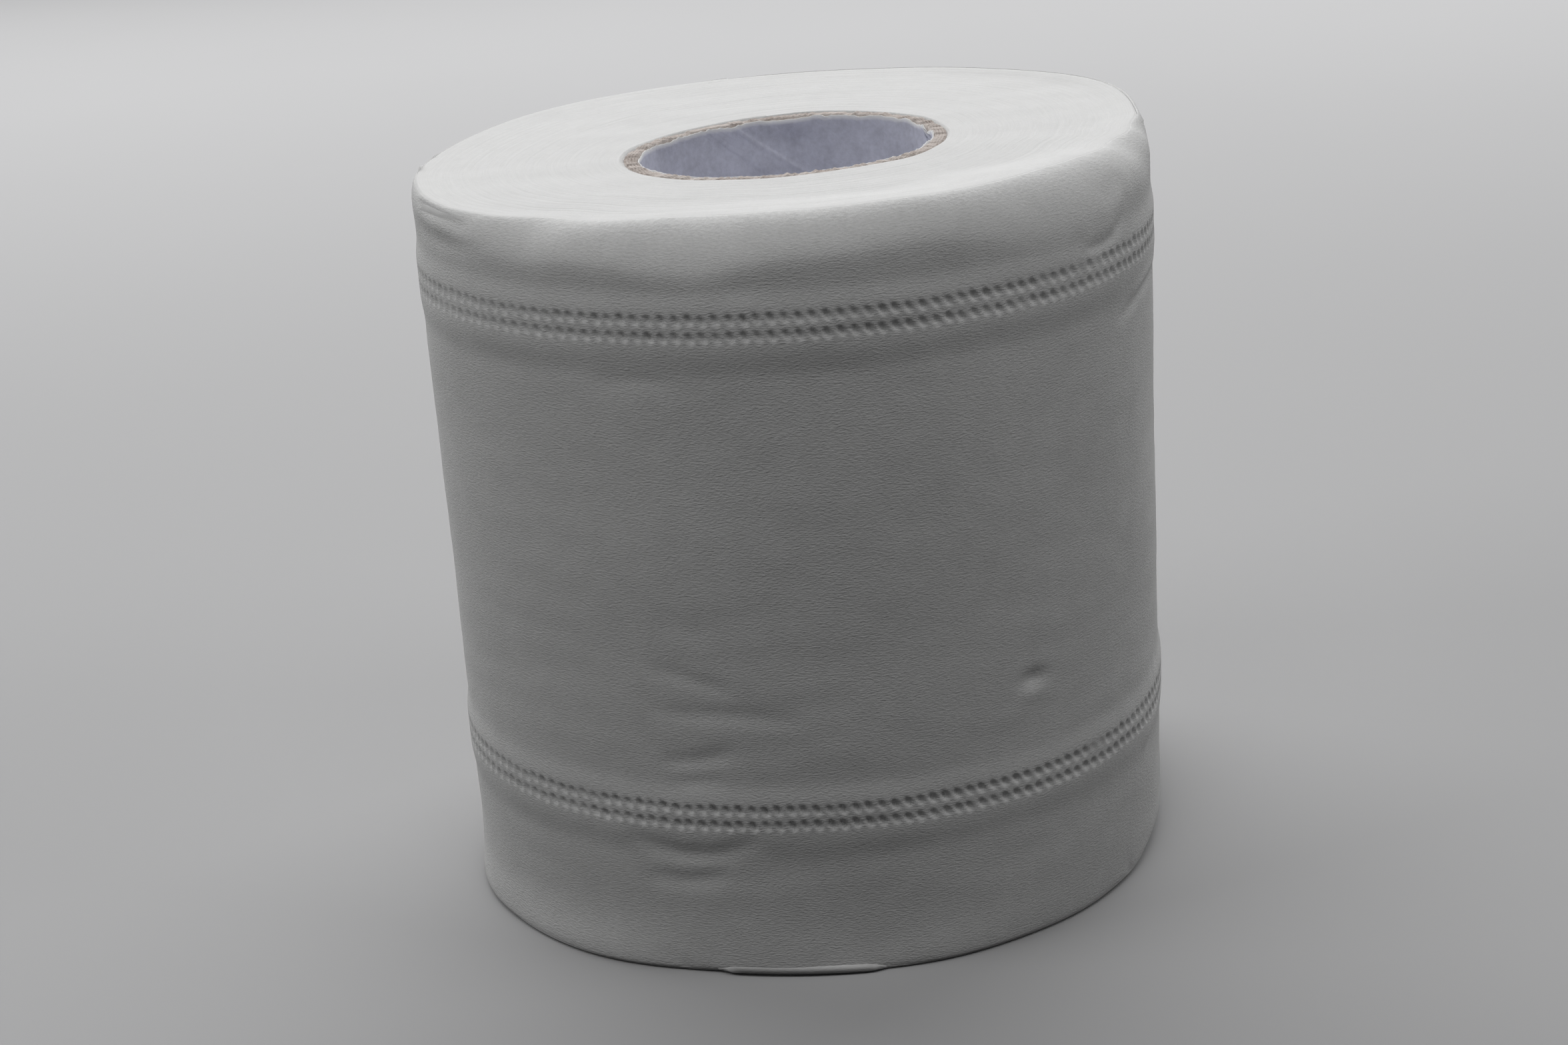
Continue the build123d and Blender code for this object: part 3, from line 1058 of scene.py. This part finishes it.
def buildCoreLining():
    lining, shape = liningShape, rollShape
    outer = shape["coreRadius"] - shape["boardThickness"] - lining["gap"]
    # rows are closer together towards both edges
    level = np.linspace(0, 1, lining["rows"])[:, None]
    even = lining["evenRows"]
    spread = (1 - even) * (0.5 - 0.5 * np.cos(math.pi * level)) + even * level
    # the columns lean with the lap, so that its edges run along them: the lean is worked out
    # from even heights first, and then from the heights that come of it
    base = np.arange(lining["columns"])[None, :] * twoPi / lining["columns"]
    climb = lining["lapRise"] * outer
    z = shape["height"] * spread
    for _ in range(2):
        theta = base + (z - shape["height"]) / climb
        top, bottom = liningEdges(theta)
        z = bottom + (top - bottom) * spread
    start = math.radians(lining["lapAngle"]) - (lining["lapHeight"] - shape["height"]) / climb
    behind = (base - start) % twoPi * climb
    upper, lower = lining["lapSlopes"]
    lap = ramp(behind, 0, upper) - ramp(behind, lining["lapWidth"] - lower, lining["lapWidth"])
    ridge = lining["lapRidge"] * bell(behind - upper, lining["ridgeWidth"])
    inward = lining["lapStep"] * lap + ridge
    fromTop, fromFoot = top - z, z - bottom
    for middle, width, far, deep in lining["loose"]:
        inward = inward + far * bellRound(theta, middle, width) * bell(fromTop, deep)
    for away, (seed, far, deep) in zip((fromTop, fromFoot), lining["looseWaves"]):
        inward = inward + far * np.clip(ringWave(theta, seed, 5, 22), 0, 2) * bell(away, deep)
    uneven = 1 + ripple(theta * outer, z, 87, 12, 9.0, 30.0)
    inward = inward + lining["unevenness"] * uneven
    radius = outer * oval(theta, "core") - np.maximum(inward, 0)
    # up the board's side and down the bore's side, so the section closes on itself
    points = np.concatenate([ringPoints(radius, theta, z),
                             ringPoints(radius - lining["thickness"], theta, z)[::-1]])
    near = bell(fromTop, lining["edgeWidth"]) + bell(fromFoot, lining["edgeWidth"])
    places = np.stack([np.clip(near, 0, 1), theta * outer, z], axis=-1)
    makePiece("coreLining", points, [closedTube(points)],
              np.concatenate([places, places[::-1]]), coreLiningPaper,
              "core_lining")


buildWoundTurns()
buildOuterSheet()
buildCoreBoard()
buildCoreLining()
print("pieces built")

# The stage: a pale floor, a soft lamp above and behind, and weaker ones at the front and sides
stageLook = dict(
    floorSize=8.0,               # metres
    floorColour=(0.50, 0.50, 0.505),
    backdropColour=(0.52, 0.52, 0.53),
    bounceColour=(0.05, 0.05, 0.05),     # what the floor sends back at the roll
    worldStrength=0.03,
    # the lamps: watts, how wide and high, and where
    lamps=dict(
        backLamp=(18.8, (2.8, 0.5), (-0.05, 0.90, 0.62)),
        frontLamp=(0.76, (0.4, 0.3), (0.0, -0.30, 0.62)),
        leftLamp=(0.92, (0.3, 0.4), (-0.60, -0.15, 0.50)),
        rightLamp=(0.74, (0.3, 0.4), (0.60, -0.15, 0.50)),
    ),
)


def seenRay(tree):
    # one where the camera looks or a reflection does, nothing for light that bounces
    path = addNode(tree, "ShaderNodeLightPath").outputs
    mirrored = addMath(tree, "MAXIMUM", path["Is Glossy Ray"], path["Is Transmission Ray"])
    return addMath(tree, "MAXIMUM", path["Is Camera Ray"], mirrored)


def buildFloor():
    half = stageLook["floorSize"] / 2
    mesh = bpy.data.meshes.new("studioFloor")
    mesh.from_pydata([(-half, -half, 0), (half, -half, 0), (half, half, 0), (-half, half, 0)],
                     [], [(0, 1, 2, 3)])
    material, tree = newMaterial("floorPaint", 0.9)
    haze = addNoise(tree, objectPlace(tree), 6.0)
    pale = stageLook["floorColour"]
    colour = addRamp(tree, haze, [(0.3, tuple(0.985 * part for part in pale)), (0.7, pale)])
    colour = mixColours(tree, seenRay(tree), (*stageLook["bounceColour"], 1.0), colour)
    mesh.materials.append(finish(material, colour))
    addObject("studioFloor", mesh)


def buildWorld():
    # light from all sides, and a pale backdrop for what the camera and reflections see
    world = bpy.data.worlds.new("studioAir")
    world.use_nodes = True
    tree = world.node_tree
    tree.nodes.clear()
    light = addNode(tree, "ShaderNodeBackground",
                    {"Color": (1, 1, 1, 1), "Strength": stageLook["worldStrength"]})
    backdrop = addNode(tree, "ShaderNodeBackground",
                       {"Color": (*stageLook["backdropColour"], 1), "Strength": 1.0})
    mix = addNode(tree, "ShaderNodeMixShader",
                  {0: seenRay(tree), 1: light.outputs[0], 2: backdrop.outputs[0]})
    addNode(tree, "ShaderNodeOutputWorld", {"Surface": mix.outputs[0]})
    bpy.context.scene.world = world


def buildLamp(name, power, size, place):
    lamp = bpy.data.lights.new(name, "AREA")
    lamp.shape = "RECTANGLE"
    lamp.size, lamp.size_y = size
    lamp.energy = power
    holder = addObject(name, lamp)
    # it points at the roll's middle
    towards = Vector((0, 0, rollShape["height"] / 2 * mm)) - Vector(place)
    holder.rotation_mode = "QUATERNION"
    holder.rotation_quaternion = towards.to_track_quat("-Z", "Y")
    holder.location = place
    holder.visible_camera = False


# The camera's place, as worked out from the outline, the bands and the core
cameraShape = dict(
    focal=4013.0,            # pixels, in an image 2352 wide
    imageWidth=2352,
    sensorWidth=36.0,
    away=392.75,             # from the roll's middle
    elevation=19.92,
    roll=-3.71,
    aimRight=38.9,           # pixels from the image's middle to the roll's middle
    aimUp=-46.4,
)


def buildCamera():
    shape = cameraShape
    elevation, roll = math.radians(shape["elevation"]), math.radians(shape["roll"])
    yaw = math.atan2(shape["aimRight"], shape["focal"])
    pitch = math.atan2(shape["aimUp"], math.hypot(shape["focal"], shape["aimRight"]))
    back = np.array([0, -math.cos(elevation), math.sin(elevation)])
    right = np.array([1.0, 0, 0])
    axes = np.array([right, np.cross(back, right), -back])
    # its right, up and forward, of which two at a time are turned towards each other
    for pair, angle in (([0, 1], roll), ([0, 2], yaw), ([2, 1], pitch)):
        across, over = math.cos(angle), math.sin(angle)
        axes[pair] = np.array([[across, over], [-over, across]]) @ axes[pair]
    matrix = np.eye(4)
    matrix[:3, :3] = np.stack([axes[0], axes[1], -axes[2]], axis=1)
    matrix[:3, 3] = (np.array([0, 0, rollShape["height"] / 2]) + back * shape["away"]) * mm
    lens = bpy.data.cameras.new("photoCamera")
    lens.sensor_width = shape["sensorWidth"]
    lens.lens = shape["focal"] * shape["sensorWidth"] / shape["imageWidth"]
    lens.clip_start, lens.clip_end = 0.01, 50
    camera = addObject("photoCamera", lens)
    camera.matrix_world = Matrix(matrix.tolist())
    bpy.context.scene.camera = camera


buildFloor()
buildWorld()
for lampName, (power, size, place) in stageLook["lamps"].items():
    buildLamp(lampName, power, size, place)
buildCamera()
bpy.context.scene.view_settings.view_transform = "Standard"
print("stage set")

bpy.context.view_layer.update()
